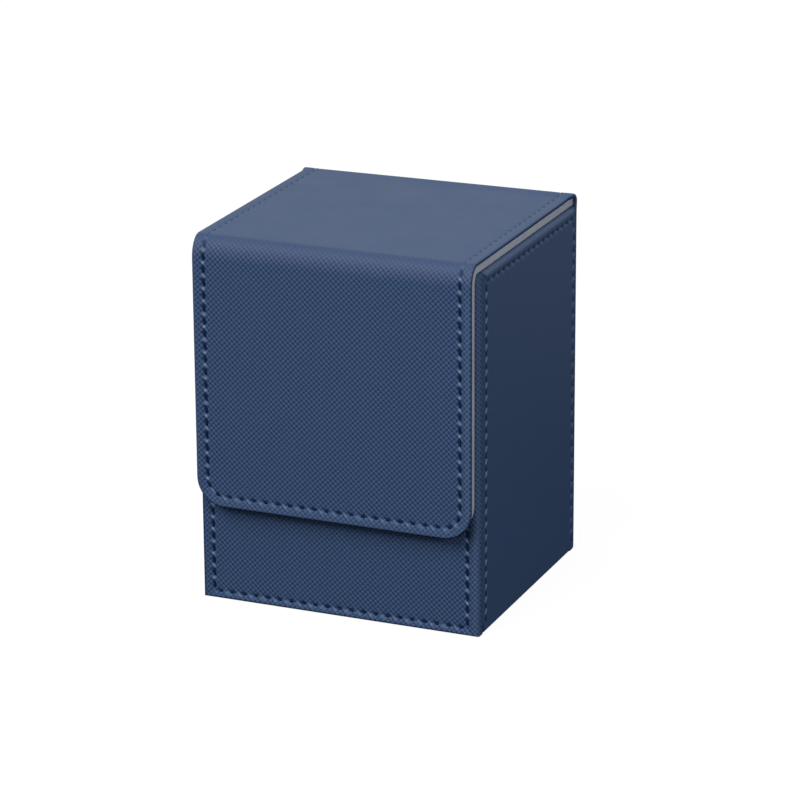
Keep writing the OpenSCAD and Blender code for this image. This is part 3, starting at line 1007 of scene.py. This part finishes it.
# the back wall's top, under the hinge strip
CAP_T, CAP_RISE = 0.5, 0.42              # the cap's face stands this far over the board
cap_ring = Ring((BOARD_LOW[0] + 0.1, INSIDE_HIGH[1] - PAD_T + 0.05),
                (BOARD_HIGH[0] - 0.1, BOARD_HIGH[1] + 0.1), radii=(0.2,) * 4, step=0.9)
cap_edge = edge_profile(CAP_T, 0.22, 0.15, 0.7, 0.8)
cap_edge = cap_edge[cap_edge[:, 0] < 1.2]        # the board is too thin for a wider face
back_cap = panel("back_cap", cap_ring, [cap_edge] * 4,
                 place_inside(2, BOARD_HIGH[2] + CAP_RISE, 1))

# ---- give each piece its material, put the box's pieces on its body, and hide the CAD parts they stand for ----

NODE_SLOTS = {"_board": (BOARD, "greyboard"), "_magnets": (NICKEL, "magnet")}
for node_name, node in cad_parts.items():
    for ending, (material, slot) in NODE_SLOTS.items():
        if node_name.endswith(ending):
            give(node, material)


def on_box(piece, *stands_for):
    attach(piece, "box")
    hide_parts(*stands_for)


def on_hinge(piece, *stands_for):
    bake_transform(piece)
    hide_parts(*stands_for)


def on_fold(piece, *stands_for):
    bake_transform(piece)
    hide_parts(*stands_for)


SKINS = ((on_hinge, sheet_back, "back_cover", "hinge_leather"),
         (on_fold, sheet_front, "lid_cover", "fold_leather", "flap_cover"),
         (on_box, front_panel, "front_cover"), (on_box, right_panel, "right_cover"),
         (on_box, left_panel, "left_cover"), (on_box, base_panel, "base_cover"))
THREADS = ((on_box, front_thread, "front_stitching"),
           (on_box, right_thread, "right_stitching"),
           (on_box, left_thread, "left_stitching"),
           (on_hinge, back_thread, "back_stitching"),
           (on_fold, flap_thread, "lid_stitching", "flap_stitching"))
LININGS = ((on_fold, lid_flap_lining, "lid_lining", "fold_lining", "flap_lining"),
           (on_hinge, hinge_strip, "hinge_lining"), (on_box, front_pad, "front_lining"),
           (on_box, back_pad, "back_lining"), (on_box, back_cap, "back_lining"),
           (on_box, base_pad, "base_lining"), (on_box, right_pad, "right_lining"),
           (on_box, left_pad, "left_lining"))
for rows, material, slot in ((SKINS, NAVY, "leatherette"), (THREADS, THREAD, "thread"),
                             (LININGS, LINING, "lining")):
    for put_on, piece, *stands_for in rows:
        give(piece, material)
        put_on(piece, *stands_for)

# ---- floor, light and camera ----

FLOOR_SIZE = 20.0


def stage_plane(name, size, z):
    """A level square that isn't part of the object."""
    mesh = bpy.data.meshes.new(name)
    h = size / 2
    mesh.from_pydata([(-h, -h, z), (h, -h, z), (h, h, z), (-h, h, z)], [], [(0, 1, 2, 3)])
    plane = bpy.data.objects.new(name, mesh)
    bpy.context.scene.collection.objects.link(plane)
    return plane


def floor_material():
    return Finish("pale_floor").made(rgb(0.06, 0.06, 0.06), 0.9, Specular_IOR_Level=0.0,
                                     Emission_Color=rgb(1, 1, 1), Emission_Strength=0.95)


floor = stage_plane("floor", FLOOR_SIZE, -0.0002)
floor.data.materials.append(floor_material())
floor.visible_diffuse = False
floor.visible_glossy = False


BOUNCE = 0.27


def bounce_material():
    """Light off the floor: none beside the box, in its shadow, and more further away."""
    n = Finish("floor_bounce")
    place = n.new("NewGeometry").outputs["Position"]
    flat = n.new("VectorMath", {0: place, 1: (1, 1, 0)}, operation="MULTIPLY").outputs[0]
    away = n.new("VectorMath", {0: flat}, operation="LENGTH").outputs["Value"]
    return n.made(rgb(0, 0, 0), 0.5, Specular_IOR_Level=0.0, Emission_Color=rgb(1, 1, 1),
                  Emission_Strength=n.span(away, 0.13, 0.45, 0.03, BOUNCE))


bounce = stage_plane("floor_bounce", FLOOR_SIZE, -0.0004)
bounce.data.materials.append(bounce_material())
bounce.visible_camera = False


def area_light(name, direction, size, power, distance=1.6, aim=(0, 0, 0.05)):
    light = bpy.data.lights.new(name, "AREA")
    light.shape, light.size, light.energy = "DISK", size, power
    lamp = bpy.data.objects.new(name, light)
    lamp.location = Vector(aim) + Vector(direction).normalized() * distance
    lamp.rotation_mode = "QUATERNION"
    lamp.rotation_quaternion = Vector(direction).to_track_quat("Z", "Y")
    bpy.context.scene.collection.objects.link(lamp)
    return lamp


area_light("key_light", (-0.28, -0.64, 0.72), size=1.1, power=25.6)
area_light("fill_light", (0.76, -0.54, 0.37), size=0.4, power=7.8)
area_light("back_light", (-0.36, 0.80, 0.46), size=0.9, power=0.65)

# brightness by height, from straight down at 0 to straight up at 1
SKY = ((0.0, 0.05), (0.48, 0.05), (0.53, 0.70), (0.80, 0.72), (0.88, 0.70), (1.0, 0.70))


def studio_world():
    """White to the camera. For lighting, a bright band above the horizon, and dark below it."""
    world = bpy.data.worlds.new("studio")
    bpy.context.scene.world = world
    n = Nodes(world)
    n.tree.nodes.clear()
    axes = n.new("SeparateXYZ", {0: n.new("TexCoord").outputs["Generated"]})
    ramp = n.new("ValToRGB", {0: n.math("MULTIPLY_ADD", axes.outputs["Z"], 0.5, 0.5)})
    stops = ramp.color_ramp.elements
    for i, (height, bright) in enumerate(SKY):
        stop = stops[i] if i < 2 else stops.new(height)
        stop.position = height
        stop.color = rgb(bright, bright, bright)
    lit = n.new("Background", {"Color": ramp.outputs["Color"]})
    seen = n.new("Background", {"Color": rgb(1, 1, 1)})
    mix = n.new("MixShader", {0: n.new("LightPath").outputs["Is Camera Ray"],
                              1: lit.outputs[0], 2: seen.outputs[0]})
    n.new("OutputWorld", {0: mix.outputs[0]})


studio_world()
bpy.context.scene.view_settings.view_transform = "Standard"


def make_camera(azimuth, elevation, roll, place, lens):
    """A camera at a place, looking along an azimuth and an elevation, then rolled."""
    a, e, r = (math.radians(x) for x in (azimuth, elevation, roll))
    back = Vector((math.sin(a) * math.cos(e), -math.cos(a) * math.cos(e), math.sin(e)))
    right = Vector((math.cos(a), math.sin(a), 0))
    up = back.cross(right)
    turned_right = right * math.cos(r) + up * math.sin(r)
    turned_up = up * math.cos(r) - right * math.sin(r)
    data = bpy.data.cameras.new("camera")
    data.lens, data.sensor_width = lens, 36.0
    data.clip_start, data.clip_end = 0.05, 50.0
    camera = bpy.data.objects.new("camera", data)
    axes = Matrix((turned_right, turned_up, back)).transposed()
    camera.matrix_world = Matrix.Translation(place) @ axes.to_4x4()
    bpy.context.scene.collection.objects.link(camera)
    bpy.context.scene.camera = camera


make_camera(azimuth=22.958, elevation=18.675, roll=-0.341,
            place=(0.37683, -0.88097, 0.37397), lens=169.04)
